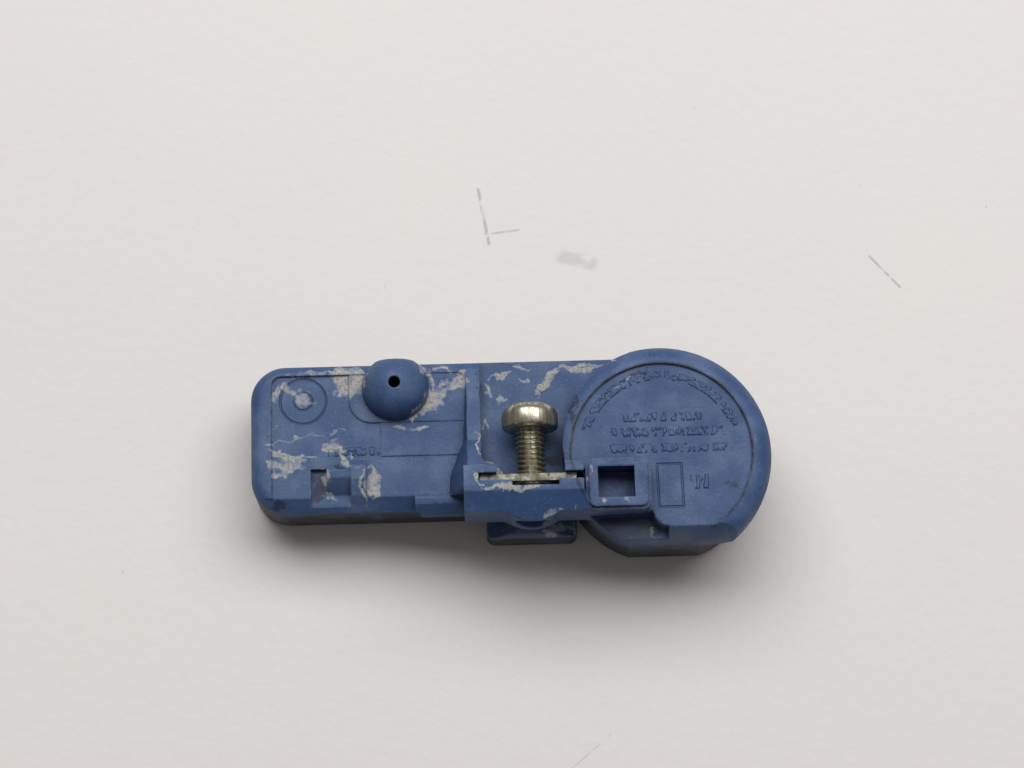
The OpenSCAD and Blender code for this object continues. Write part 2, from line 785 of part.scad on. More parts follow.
// Contact strip between the board and the cell
module tab_negative() {
    reach = cell_d / 2 - 2;
    color("#C9C3A5") translate([can_x, can_y, board_top]) linear_extrude(tab_t) {
        translate([-reach, -tab_w / 2]) square([2 * reach, tab_w]);
        translate([-reach, 0]) circle(tab_w / 2);
        translate([reach, 0]) circle(tab_w / 2);
    }
}

// Pressure chip with its leads and the vent in its top
module pressure_chip() {
    standoff = 0.1;
    vent_d = 0.8;
    color("#22242A") difference() {
        union() {
            translate([port_x - chip_l / 2, chip_y - chip_w / 2, board_top + standoff])
                cube([chip_l, chip_w, chip_t - standoff]);
            for (s = [-1, 1], k = [-1 : 1])
                translate([port_x + s * (chip_l + lead_l) / 2 - lead_l / 2 - 0.1,
                           chip_y + k * lead_pitch - lead_w / 2, board_top])
                    cube([lead_l + 0.2, lead_w, 0.5]);
        }
        translate([port_x, port_y, chip_top - 0.6]) cylinder(h = over, d = vent_d);
    }
}

// Soft ring that seals the port to the chip
module port_seal() {
    color("#3A3A3A") translate([port_x, port_y, chip_top]) difference() {
        cylinder(h = roof_z - chip_top, r = seal_r);
        translate([0, 0, -over]) cylinder(h = roof_z - chip_top + 2 * over, d = port_d);
    }
}

// Flat leadless radio chip under the bay
module radio_chip() {
    color("#26282E") translate([radio_x, radio_y, board_top]) cube([radio_w, radio_w, radio_t]);
}

// Crystal in its metal can
module crystal() {
    color("#C4C6C8") translate([crystal_x, resistor_y - 0.5, board_top]) cube(crystal_size);
}

// Ferrite core of the wake-up coil, lying along Y between two square flanges
module coil_core() {
    color("#3C3A3A") translate([coil_x, coil_y, board_top]) {
        for (y = [-coil_l / 2, coil_l / 2 - flange_t])
            translate([-coil_w / 2, y, 0]) cube([coil_w, flange_t, coil_h]);
        translate([0, coil_l / 2 - flange_t, coil_h / 2]) rotate([90, 0, 0])
            cylinder(h = coil_l - 2 * flange_t, d = coil_neck);
    }
}

// Winding round the coil's core
module coil_winding() {
    color("#8A4B22") translate([coil_x, coil_y + coil_l / 2 - flange_t, board_top + coil_h / 2])
        rotate([90, 0, 0]) difference() {
            cylinder(h = coil_l - 2 * flange_t, d = coil_h - 0.2);
            translate([0, 0, -over]) cylinder(h = coil_l, d = coil_neck);
        }
}

// Wire antenna: a staple with both legs on the board
module antenna() {
    color("#B87333") {
        for (x = [antenna_x0, antenna_x1]) {
            translate([x, antenna_y, board_top]) cylinder(h = antenna_z - board_top, r = wire_r);
            translate([x, antenna_y, antenna_z]) sphere(wire_r);
        }
        translate([antenna_x0, antenna_y, antenna_z]) rotate([0, 90, 0])
            cylinder(h = antenna_x1 - antenna_x0, r = wire_r);
    }
}

// Chip part with metal end caps that stand slightly proud
module end_capped(size) {
    cap = size[0] / 5;
    proud = 0.05;
    translate([cap - size[0] / 2, proud - size[1] / 2, 0])
        cube([size[0] - 2 * cap, size[1] - 2 * proud, size[2] - proud]);
    for (x = [-size[0] / 2, size[0] / 2 - cap])
        translate([x, -size[1] / 2, 0]) cube([cap, size[1], size[2]]);
}

// One of the capacitors in a row
module capacitor(i) {
    color("#A98B62") translate([small_x + (i - 1) * small_pitch, capacitor_y, board_top])
        end_capped(capacitor_size);
}

// One of the resistors in a row
module resistor(i) {
    color("#1E1E20") translate([small_x + (i - 1) * small_pitch, resistor_y, board_top])
        end_capped(resistor_size);
}

// One of the inductors in a column
module inductor(i) {
    color("#5B5148") translate([inductor_x, inductor_y + (i - 1) * small_pitch, board_top])
        end_capped(inductor_size);
}

housing();
base_cover();
retaining_plate();
screw();
circuit_board();
coin_cell();
tab_positive();
tab_negative();
pressure_chip();
port_seal();
radio_chip();
crystal();
coil_core();
coil_winding();
antenna();
for (i = [1 : capacitor_count]) capacitor(i);
for (i = [1 : resistor_count]) resistor(i);
for (i = [1 : inductor_count]) inductor(i);
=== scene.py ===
import json
import math

import bpy
import numpy as np
from mathutils import Matrix, Vector


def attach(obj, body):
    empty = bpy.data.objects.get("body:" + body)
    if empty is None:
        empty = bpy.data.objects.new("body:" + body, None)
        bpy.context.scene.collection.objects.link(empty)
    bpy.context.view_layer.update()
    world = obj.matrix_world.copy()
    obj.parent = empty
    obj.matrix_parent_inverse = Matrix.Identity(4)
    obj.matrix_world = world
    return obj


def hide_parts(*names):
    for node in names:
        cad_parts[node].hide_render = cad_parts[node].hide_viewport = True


# Looks of a used tyre pressure sensor that lies on a pale table. Lengths are in millimetres
# in the CAD frame, and MM turns them into metres.
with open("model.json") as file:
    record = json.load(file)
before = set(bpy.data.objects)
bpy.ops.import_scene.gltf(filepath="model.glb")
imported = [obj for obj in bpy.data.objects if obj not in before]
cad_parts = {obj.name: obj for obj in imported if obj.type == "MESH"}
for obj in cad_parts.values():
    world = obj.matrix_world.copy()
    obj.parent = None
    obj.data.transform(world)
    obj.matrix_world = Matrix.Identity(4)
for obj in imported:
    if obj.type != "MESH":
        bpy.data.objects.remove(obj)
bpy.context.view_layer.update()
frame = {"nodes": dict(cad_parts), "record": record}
MM = 0.001

# ---- colours and node helpers


def linear(code):
    """sRGB hex colour as linear red, green, blue and alpha."""
    values = [int(code[i:i + 2], 16) / 255 for i in (1, 3, 5)]
    return [v / 12.92 if v <= 0.04045 else ((v + 0.055) / 1.055) ** 2.4 for v in values] + [1.0]


def add(tree, kind, inputs=None, **settings):
    """Adds a shader node. An input given as a socket is linked, any other value is set."""
    node = tree.nodes.new("ShaderNode" + kind)
    for key, value in settings.items():
        setattr(node, key, value)
    for key, value in (inputs or {}).items():
        if isinstance(value, bpy.types.NodeSocket):
            tree.links.new(value, node.inputs[key])
        else:
            node.inputs[key].default_value = value
    return node


def calc(tree, how, a, b=0.0):
    """Result of one sum on one or two values."""
    return add(tree, "Math", {0: a, 1: b}, operation=how).outputs[0]


def place(tree, keep=(1, 1, 1)):
    """Object coordinates in millimetres, each axis times its share."""
    scale = Vector(keep) / MM
    spot = add(tree, "TexCoord").outputs["Object"]
    return add(tree, "VectorMath", {0: spot, 1: scale}, operation="MULTIPLY").outputs[0]


def axis(tree, where, name):
    """One coordinate of a vector."""
    return add(tree, "SeparateXYZ", {0: where}).outputs[name]


def grain(tree, size, detail=3.0, where=None):
    """Noise whose largest spots are about size millimetres wide."""
    return add(tree, "TexNoise", {"Vector": where or place(tree), "Scale": 1 / size,
                                  "Detail": detail}).outputs["Fac"]


def ramp(tree, value, low, high, start=0.0, end=1.0):
    """Value mapped smoothly from low...high to start...end, and held beyond."""
    return add(tree, "MapRange", {"Value": value, "From Min": low, "From Max": high,
                                  "To Min": start, "To Max": end},
               interpolation_type="SMOOTHSTEP").outputs["Result"]


def spots(tree, size, low, high, detail=4.0, where=None):
    """Irregular spots: 0 where the noise is under low, 1 where it is over high."""
    return ramp(tree, grain(tree, size, detail, where), low, high)


def mix(tree, fac, a, b):
    """Colour a turned towards colour b by fac. Colours are sockets or hex codes."""
    node = add(tree, "Mix", data_type="RGBA")
    for key, value in ((0, fac), (6, a), (7, b)):
        if isinstance(value, bpy.types.NodeSocket):
            tree.links.new(value, node.inputs[key])
        else:
            node.inputs[key].default_value = linear(value) if isinstance(value, str) else value
    return node.outputs[2]


def bump(tree, height, depth, normal=None, strength=1.0):
    """Normal for a height of 0...1 that stands for depth millimetres."""
    links = {"Height": height, "Distance": depth * MM, "Strength": strength}
    if normal:
        links["Normal"] = normal
    return add(tree, "Bump", links).outputs["Normal"]


def finish(mat, colour, roughness, normal, metal=0.0, shine=0.5):
    """Connects a colour, a roughness and a normal to a material's surface."""
    shade = mat.node_tree.nodes["Principled BSDF"]
    for key, value in {"Base Color": colour, "Roughness": roughness, "Metallic": metal,
                       "Normal": normal, "Specular IOR Level": shine}.items():
        if isinstance(value, bpy.types.NodeSocket):
            mat.node_tree.links.new(value, shade.inputs[key])
        else:
            shade.inputs[key].default_value = value
    return mat


def new_material(name):
    """Empty material and its node tree."""
    mat = bpy.data.materials.new(name)
    mat.use_nodes = True
    return mat, mat.node_tree


# ---- stains and moulded marks on the housing, seen from above

# Ends, half width and strength of each stain
STAINS = [
    (-17.6, 8.3, -14.4, 8.2, 0.8, 0.9), (-17.2, 7.2, -14.8, 7.2, 1.0, 0.95),
    (-17.0, 6.0, -15.6, 6.3, 0.6, 0.8), (-22.4, 8.2, -18.0, 8.5, 0.35, 0.5),
    (-22.6, 7.0, -19.6, 5.6, 0.8, 0.55), (-23.6, 5.6, -23.2, 7.2, 0.5, 0.5),
    (-10.0, 3.6, -7.6, 5.2, 0.45, 0.95), (-7.9, 5.2, -6.3, 6.6, 0.7, 1.0),
    (-6.3, 6.7, -4.7, 7.3, 0.55, 1.0), (-4.6, 8.2, -4.5, 6.4, 0.35, 0.95),
    (-9.0, 9.0, -7.8, 7.9, 0.35, 0.9), (-7.8, 7.9, -7.8, 6.2, 0.3, 0.9),
    (-11.8, 2.6, -8.2, 2.4, 0.3, 0.6), (-24.6, 0.5, -19.6, -0.3, 0.28, 0.9),
    (-24.2, -0.7, -20.4, -0.8, 0.6, 0.9), (-23.9, -1.7, -22.6, -1.7, 0.4, 0.75),
    (-24.8, 1.2, -19.4, 2.2, 0.22, 0.5), (-24.6, 2.6, -22.8, 3.0, 0.22, 0.5),
    (-19.8, 1.7, -16.2, 2.6, 0.25, 0.5), (-18.6, 1.2, -16.4, 0.6, 0.45, 0.7),
    (-16.8, 0.2, -16.0, -1.0, 0.35, 0.75), (-16.0, -1.0, -14.0, -1.2, 0.3, 0.6),
    (-13.7, -1.2, -13.7, -4.4, 0.42, 1.0), (-14.9, -1.4, -14.6, -4.4, 0.3, 0.6),
    (-18.9, -1.4, -18.2, -2.6, 0.5, 0.7), (-18.3, -4.0, -17.6, -4.6, 0.3, 0.7),
    (3.1, 6.0, 3.6, 7.2, 0.4, 0.95), (3.6, 7.2, 4.7, 8.2, 0.32, 0.95),
    (4.7, 8.2, 10.2, 8.8, 0.3, 0.75), (-2.3, 7.6, 0.4, 8.2, 0.3, 0.65),
    (-2.4, 7.2, -1.9, 5.8, 0.28, 0.65), (-1.4, 5.7, -0.4, 5.2, 0.35, 0.7),
    (-2.7, 3.9, -2.4, 2.6, 0.22, 0.7), (1.2, 7.2, 2.0, 7.0, 0.25, 0.65),
    (0.6, 8.6, 2.2, 8.5, 0.2, 0.6), (-7.6, 8.4, -5.6, 8.6, 0.3, 0.6),
    (-3.3, 1.6, -3.0, -0.9, 0.16, 0.9), (-3.0, -0.9, -1.0, -1.6, 0.2, 0.95),
    (-3.2, -3.3, -3.1, -4.6, 0.3, 1.0), (-2.8, -4.7, 3.0, -4.8, 0.32, 0.9),
    (-1.2, -1.6, -1.0, -3.1, 0.25, 0.8), (7.6, -2.2, 7.6, -4.4, 0.2, 0.5),
    (9.0, -6.0, 9.5, -6.0, 0.24, 0.95), (11.1, -6.0, 11.7, -6.0, 0.24, 0.95),
    (3.4, -7.6, 6.0, -7.6, 0.7, 0.6), (6.2, -6.9, 6.3, -9.4, 0.15, 0.7),
    (13.4, -8.6, 14.6, -9.3, 0.2, 0.5), (10.4, 5.3, 12.4, 6.6, 0.25, 0.55),
]
# The same for dark patches: some are dirt, others painted shade, as in front of the drum, under the
# boss, behind the plate and along the disc's step
GRIME_AND_SHADE = [
    (-19.2, -2.0, -19.2, -4.8, 0.6, 1.0), (8.8, -8.0, 14.4, -8.6, 1.3, 1.0),
    (-17.6, -1.2, -16.4, -1.1, 0.2, 0.9), (21.4, -4.2, 22.2, -5.2, 0.6, 0.55),
    (-23.6, -4.6, -22.6, -5.2, 0.7, 0.6), (3.2, -0.6, 5.4, -1.0, 0.5, 0.7),
    (6.4, 4.8, 6.0, 1.2, 0.3, 0.75), (10.6, 6.0, 14.0, 7.2, 0.22, 0.7),
    (-2.9, 8.3, -3.0, 4.0, 0.12, 0.8), (7.4, -7.0, 13.6, -7.1, 0.25, 0.9),
]
# Axis and radius of the recessed disc on the round end, and the radius of its arc of marks
DISC_X, DISC_Y, DISC_R = 14.9, -1.2, 9.0
MARKS_R = 7.8
# Rows of raised marks: left and right end, middle, half height and blob size
MARK_ROWS = [(11.3, 19.2, 2.4, 0.42, 0.5), (9.7, 21.3, 0.9, 0.42, 0.5),
             (9.7, 21.4, -0.75, 0.42, 0.5), (17.7, 19.4, -4.2, 0.7, 0.7),
             (-18.1, -12.9, 0.35, 0.4, 0.45)]
# Corners of the grooved frame on the disc, and middle and radii of the mould rings on the box
FRAME = [(14.4, -2.4), (16.8, -2.4), (16.9, -6.7), (14.5, -6.7)]
RINGS_X, RINGS_Y, RINGS_R = -20.6, 5.6, (2.3, 0.9)


def line_gap(tree, where, x0, y0, x1, y1):
    """Distance in millimetres from the line between two points."""
    start, run = Vector((x0, y0, 0)), Vector((x1 - x0, y1 - y0, 0))
    arm = add(tree, "VectorMath", {0: where, 1: start}, operation="SUBTRACT").outputs[0]
    along = add(tree, "VectorMath", {0: arm, 1: run / run.length_squared},
                operation="DOT_PRODUCT").outputs["Value"]
    along = add(tree, "Clamp", {"Value": along}).outputs[0]
    foot = add(tree, "VectorMath", {0: run, "Scale": along}, operation="SCALE").outputs[0]
    return add(tree, "VectorMath", {0: arm, 1: foot}, operation="DISTANCE").outputs["Value"]


def ragged(tree, where):
    """Point shifted by up to half a millimetre or so, which gives ragged outlines."""
    noise = add(tree, "TexNoise", {"Vector": where, "Scale": 0.8, "Detail": 5.0}).outputs["Color"]
    shift = add(tree, "VectorMath", {0: noise, 1: (0.5, 0.5, 0.5)}, operation="SUBTRACT").outputs[0]
    shift = add(tree, "VectorMath", {0: shift, 1: (2.6, 2.6, 0)}, operation="MULTIPLY").outputs[0]
    return add(tree, "VectorMath", {0: where, 1: shift}).outputs[0]


def patches(tree, where, table):
    """How deep a point lies in the patches of a table: 1 in the heart of a strong one, 0 a
    little outside. A patch is an ellipse: its foci are the two ends, and the sum of the
    distances to them, less their own distance, grows from 0 to 1 at the ellipse's edge."""
    nearest = 4.0
    for x0, y0, x1, y1, width, strength in table:
        apart = math.hypot(x1 - x0, y1 - y0)
        slack = math.hypot(apart, 2 * width) - apart
        ends = [add(tree, "VectorMath", {0: where, 1: (x, y, 0)}, operation="DISTANCE")
                for x, y in ((x0, y0), (x1, y1))]
        total = calc(tree, "ADD", ends[0].outputs["Value"], ends[1].outputs["Value"])
        reach = add(tree, "Math", {0: total, 1: 1 / slack, 2: 2 * (1 - strength) - apart / slack},
                    operation="MULTIPLY_ADD").outputs[0]
        nearest = calc(tree, "MINIMUM", reach, nearest)
    return ramp(tree, nearest, 3.2, 0.0)


def ring_gap(tree, where, x, y, radius):
    """Distance in millimetres from a circle."""
    off = add(tree, "VectorMath", {0: where, 1: (x, y, 0)}, operation="DISTANCE").outputs["Value"]
    return calc(tree, "ABSOLUTE", calc(tree, "SUBTRACT", off, radius))


def within(tree, value, low, high, soft):
    """1 where a value lies between low and high, with soft ends."""
    return calc(tree, "MULTIPLY", ramp(tree, value, low - soft, low + soft),
                ramp(tree, value, high + soft, high - soft))


def worn_row(tree, where, x0, x1, y, half, step):
    """Row of small raised blobs between x0 and x1, rubbed flat in places."""
    band = calc(tree, "MULTIPLY", within(tree, axis(tree, where, "X"), x0, x1, 0.1),
                within(tree, axis(tree, where, "Y"), y - half, y + half, 0.12))
    tall = add(tree, "VectorMath", {0: where, 1: (1, 0.45, 0)}, operation="MULTIPLY").outputs[0]
    blobs = spots(tree, step, 0.46, 0.58, 1.0, tall)
    return calc(tree, "MULTIPLY", band, blobs)


def raised_marks(tree, where):
    """Height of the worn marks: an arc and rows on the disc, and a row on the box."""
    arc = ring_gap(tree, where, DISC_X, DISC_Y, MARKS_R)
    total = calc(tree, "MULTIPLY", ramp(tree, arc, 0.5, 0.3),
                 within(tree, axis(tree, where, "Y"), 1.4, 9.0, 0.2))
    total = calc(tree, "MULTIPLY", total, spots(tree, 0.5, 0.47, 0.55, 1.0, where))
    for row in MARK_ROWS:
        total = calc(tree, "MAXIMUM", total, worn_row(tree, where, *row))
    return total


def groove_lines(tree, where):
    """Two mould rings on the box and an empty frame on the disc, as fine grooves."""
    gaps = [ring_gap(tree, where, RINGS_X, RINGS_Y, radius) for radius in RINGS_R]
    gaps += [line_gap(tree, where, *a, *b) for a, b in zip(FRAME, FRAME[1:] + FRAME[:1])]
    nearest = gaps[0]
    for gap in gaps[1:]:
        nearest = calc(tree, "MINIMUM", nearest, gap)
    return ramp(tree, nearest, 0.16, 0.04)


# ---- materials


def share(tree, value, amount):
    """Part of a value."""
    return calc(tree, "MULTIPLY", value, amount)


def filmed_blue(tree, facing):
    """Colour of the blue plastic itself, clouded by a grey film and flecked by wear."""
    base = mix(tree, spots(tree, 9.0, 0.40, 0.64), "#344F7B", "#40597F")
    film = calc(tree, "MULTIPLY", spots(tree, 3.5, 0.46, 0.70, 7.0), facing)
    base = mix(tree, share(tree, film, 0.4), base, "#64769A")
    base = mix(tree, share(tree, spots(tree, 0.25, 0.62, 0.74, 2.0), 0.3), base, "#8A97AC")
    return mix(tree, share(tree, spots(tree, 0.4, 0.40, 0.30, 2.0), 0.35), base, "#2E3F63")


def wall_film_and_shade(tree, base, up, height):
    """Dark road film and painted shade on the walls, thicker towards the table."""
    # Road film and painted shade: every wall face turns towards near-black #141518, most near the
    # table.
    wall = ramp(tree, up, 0.75, 0.1)
    low = ramp(tree, height, 10.0, 4.5, 0.2, 1.0)
    film = calc(tree, "MULTIPLY", calc(tree, "MULTIPLY", wall, low),
                spots(tree, 2.5, 0.15, 0.5, 5.0))
    return mix(tree, share(tree, film, 0.94), base, "#141518")


def dirt_and_shade(tree, base, facing, height, plan):
    """Painted shade in the corners, dirt and painted shade along the groove round the disc, and the
    listed dark patches, partly dirt and partly painted shade.
    """
    # Painted shade: the plastic turns dark blue where ambient occlusion finds corners and recesses.
    shut = add(tree, "AmbientOcclusion", {"Distance": 1.0 * MM}, samples=2).outputs["AO"]
    base = mix(tree, ramp(tree, shut, 0.7, 0.3, 0.0, 0.7), base, "#1F2634")
    # Dirt and painted shade of the step, in patches along the groove round the disc.
    groove = ramp(tree, ring_gap(tree, plan, DISC_X, DISC_Y, DISC_R), 0.28, 0.05)
    groove = calc(tree, "MULTIPLY", groove, spots(tree, 3.0, 0.36, 0.52))
    groove = calc(tree, "MULTIPLY", groove, ramp(tree, height, 11.3, 11.6))
    base = mix(tree, share(tree, groove, 0.75), base, "#1E2739")
    # Dark patches, partly dirt and partly painted shade, such as in front of the drum, under the
    # boss and behind the plate.
    grime_and_shade = calc(tree, "ADD", patches(tree, ragged(tree, plan), GRIME_AND_SHADE),
                 calc(tree, "SUBTRACT", grain(tree, 0.7, 5.0), 0.5))
    grime_and_shade = calc(tree, "MULTIPLY", ramp(tree, grime_and_shade, 0.45, 0.85), facing)
    return mix(tree, share(tree, grime_and_shade, 0.8), base, "#202B40")


def residue(tree, base, up, plan):
    """Lime-like residue: a thin pale film at its edges, beige and thick in the middle. Gives
    the colour and how much of it covers the plastic."""
    lumps = calc(tree, "SUBTRACT", grain(tree, 0.9, 6.0), 0.5)
    depth = calc(tree, "ADD", patches(tree, ragged(tree, plan), STAINS), share(tree, lumps, 1.5))
    stain = calc(tree, "MULTIPLY", ramp(tree, depth, 0.42, 0.76), ramp(tree, up, 0.1, 0.5))
    crust = mix(tree, ramp(tree, depth, 0.62, 1.05), "#8290A6", "#B5B0A8")
    crust = mix(tree, share(tree, spots(tree, 0.25, 0.5, 0.6, 3.0), 0.6), crust, "#6F7682")
    return mix(tree, share(tree, stain, 0.9), base, crust), stain


def blue_plastic():
    """Moulded plastic of the housing: dull blue under a grey film, with beige lime-like residue,
    pale edges that are partly wear and partly painted highlight, painted shade in the corners,
    dark patches of dirt and painted shade, and walls darkened by road film and painted shade.
    The moulded grain is drawn at 0.3 mm, coarser than the real one, so that it shows."""
    mat, tree = new_material("worn_blue_plastic")
    face = add(tree, "NewGeometry").outputs["Normal"]
    up = axis(tree, face, "Z")
    facing = ramp(tree, up, 0.3, 0.8)
    plan = place(tree, (1, 1, 0))
    height = axis(tree, place(tree), "Z")
    # Walls darkened by road film and painted shade, then painted shade in corners and dark patches
    # of dirt and painted shade.
    base = wall_film_and_shade(tree, filmed_blue(tree, facing), up, height)
    base = dirt_and_shade(tree, base, facing, height, plan)
    # Moulded marks and the dirt that outlines them
    raised = calc(tree, "MULTIPLY", raised_marks(tree, plan), facing)
    lines = calc(tree, "MULTIPLY", groove_lines(tree, plan), facing)
    rim = calc(tree, "MULTIPLY", raised, calc(tree, "SUBTRACT", 1.0, raised))
    rim = calc(tree, "MAXIMUM", ramp(tree, rim, 0.05, 0.25, 0.0, 0.5), share(tree, lines, 0.5))
    base = mix(tree, rim, base, "#222E48")
    base, stain = residue(tree, base, up, plan)
    # Pale edges, partly wear and partly painted highlight, found where the rounded normal turns
    # away from the flat one
    soft = add(tree, "Bevel", {"Radius": 0.3 * MM}, samples=3).outputs["Normal"]
    bend = add(tree, "VectorMath", {0: soft, 1: face}, operation="DOT_PRODUCT").outputs["Value"]
    edge_wear_and_highlight = calc(tree, "MULTIPLY", ramp(tree, bend, 0.985, 0.88), spots(tree, 1.0, 0.38, 0.56))
    base = mix(tree, share(tree, edge_wear_and_highlight, 0.5), base, "#8E9DB5")
    normal = bump(tree, calc(tree, "SUBTRACT", raised, lines), 0.10, soft)
    normal = bump(tree, grain(tree, 0.25, 4.0), 0.06, normal, stain)
    normal = bump(tree, grain(tree, 0.3, 4.0), 0.025, normal)
    rough = calc(tree, "ADD", ramp(tree, grain(tree, 2.0, 4.0), 0.3, 0.7, 0.42, 0.6),
                 share(tree, stain, 0.3))
    return finish(mat, base, rough, normal, 0.0, 0.4)


def dark_plastic():
    """Matt black plastic of the cover, greyed by road film, with a fine moulded grain."""
    mat, tree = new_material("dark_cover_plastic")
    base = mix(tree, spots(tree, 1.5, 0.35, 0.7), "#22252A", "#34363A")
    return finish(mat, base, 0.65, bump(tree, grain(tree, 0.15), 0.02))


def plate_steel():
    """Rolled steel plate: dull grey with yellowish oxide and white corrosion at its ends."""
    mat, tree = new_material("corroded_plate_steel")
    off = calc(tree, "ABSOLUTE", calc(tree, "SUBTRACT", axis(tree, place(tree), "X"), 1.65))
    ends = calc(tree, "MULTIPLY", ramp(tree, off, 2.6, 4.4), spots(tree, 0.9, 0.36, 0.56, 5.0))
    base = mix(tree, spots(tree, 0.8, 0.38, 0.62, 5.0), "#A3A498", "#77705A")
    base = mix(tree, spots(tree, 0.3, 0.6, 0.7), base, "#3B382F")
    base = mix(tree, ends, base, "#BEBDB6")
    rough = ramp(tree, grain(tree, 0.8), 0.3, 0.7, 0.45, 0.75)
    return finish(mat, base, rough, bump(tree, grain(tree, 0.3, 5.0), 0.06), 0.35)


def screw_steel():
    """Steel of the screw: drawn streaks along its axis, warm grey from use, and dark oxide
    in the thread."""
    mat, tree = new_material("worn_screw_steel")
    streaks = grain(tree, 0.35, 3.0, place(tree, (1, 0.08, 1)))
    base = mix(tree, ramp(tree, streaks, 0.35, 0.65), "#C8C4B4", "#959079")
    base = mix(tree, calc(tree, "MULTIPLY", spots(tree, 0.6, 0.5, 0.68, 5.0), 0.5), base, "#6E6450")
    shut = add(tree, "AmbientOcclusion", {"Distance": 0.3 * MM}, samples=3).outputs["AO"]
    base = mix(tree, ramp(tree, shut, 0.75, 0.35, 0.0, 0.7), base, "#332D22")
    normal = bump(tree, streaks, 0.012, bump(tree, grain(tree, 0.12, 3.0), 0.006))
    return finish(mat, base, ramp(tree, streaks, 0.3, 0.7, 0.24, 0.42), normal, 0.9)


# Inner pieces: name, two colours, spot size in mm, roughness and metal share
INNER = [
    ("board_laminate", "#1F5A3C", "#174A30", 2.0, 0.4, 0.0),
    ("cell_steel", "#B9BCC0", "#A3A6AA", 3.0, 0.28, 1.0),
    ("contact_strip", "#C9C3A5", "#B4AC8C", 1.5, 0.35, 1.0),
    ("chip_resin", "#22242A", "#2D2F35", 0.3, 0.6, 0.0),
    ("seal_rubber", "#3A3A3A", "#2E2E2E", 0.4, 0.8, 0.0),
    ("crystal_can", "#C4C6C8", "#B0B2B4", 1.0, 0.3, 1.0),
    ("ferrite", "#3C3A3A", "#2F2D2D", 0.3, 0.7, 0.0),
    ("coil_wire", "#8A4B22", "#6E3A18", 0.2, 0.35, 0.6),
    ("antenna_wire", "#B87333", "#9C5E26", 0.6, 0.35, 1.0),
    ("capacitor_body", "#A98B62", "#967A54", 0.3, 0.5, 0.0),
    ("resistor_body", "#1E1E20", "#2A2A2C", 0.3, 0.45, 0.0),
    ("inductor_body", "#5B5148", "#4C433B", 0.3, 0.6, 0.0),
]


def inner_material(name, light, dark, size, roughness, metal):
    """Plain finish of a hidden inner piece, with slight mottling and a fine grain."""
    mat, tree = new_material(name)
    base = mix(tree, spots(tree, size, 0.35, 0.65, 3.0), light, dark)
    return finish(mat, base, roughness, bump(tree, grain(tree, 0.2 * size), 0.01), metal)


# Scratches on the table: ends, half width and strength
SCRATCHES = [
    (-28, -43, -10, -34, 0.10, 0.30), (-2, -37, 10, -27, 0.08, 0.25),
    (-2.6, 30, -1.6, 24, 0.16, 0.5), (-2.0, 25, 1.6, 25.4, 0.12, 0.4),
    (38, 21.6, 41, 18.2, 0.12, 0.5), (6, 22.4, 9, 21.6, 0.7, 0.25),
]


def table_top():
    """Off-white laminate with a leathery grain, faint scratches and a few dark specks."""
    mat, tree = new_material("pale_table_laminate")
    plan = place(tree, (1, 1, 0))
    base = mix(tree, spots(tree, 60.0, 0.3, 0.7, 2.0), "#E9E5E2", "#E7E3E2")
    scratch = 0.0
    for x0, y0, x1, y1, width, strength in SCRATCHES:
        gap = line_gap(tree, plan, x0, y0, x1, y1)
        mark = ramp(tree, gap, 1.6 * width, 0.4 * width, 0.0, strength)
        scratch = calc(tree, "MAXIMUM", mark, scratch)
    scratch = calc(tree, "MULTIPLY", scratch, spots(tree, 1.2, 0.35, 0.55))
    base = mix(tree, scratch, base, "#8F8A86")
    base = mix(tree, share(tree, spots(tree, 1.0, 0.76, 0.80, 2.0), 0.35), base, "#9A9591")
    return finish(mat, base, 0.55, bump(tree, grain(tree, 1.3, 3.0), 0.05), 0.0, 0.3)


# ---- pieces


def surface(name, points, faces):
    """Mesh object from an array of points and one of faces, smooth shaded."""
    mesh = bpy.data.meshes.new(name)
    mesh.from_pydata(points.tolist(), [], faces.tolist())
    mesh.shade_smooth()
    obj = bpy.data.objects.new(name, mesh)
    bpy.context.scene.collection.objects.link(obj)
    return obj


def ring_faces(rings, sides):
    """Quads between neighbouring rings of a closed tube."""
    i, j = np.meshgrid(np.arange(rings - 1), np.arange(sides), indexing="ij")
    k = (j + 1) % sides
    quads = np.stack([i * sides + j, i * sides + k, (i + 1) * sides + k, (i + 1) * sides + j], -1)
    return quads.reshape(-1, 4)


# Screw: its axis, the underside of its head and its tip, the head, the drive and the thread
SCREW_X, SCREW_Z = 2.0, 10.9
HEAD_Y, TIP_Y = 1.6, -4.4
HEAD_R, HEAD_H = 2.8, 2.5
DRIVE_R, DRIVE_DEPTH = 1.38, 1.1
THREAD_R, PITCH, THREAD_DEPTH = 1.5, 0.5, 0.31


def lobes(angle, reach):
    """Radius of a six-lobe drive at an angle: round lobes that reach out to reach."""
    return reach * (0.86 + 0.14 * np.cos(6 * angle))


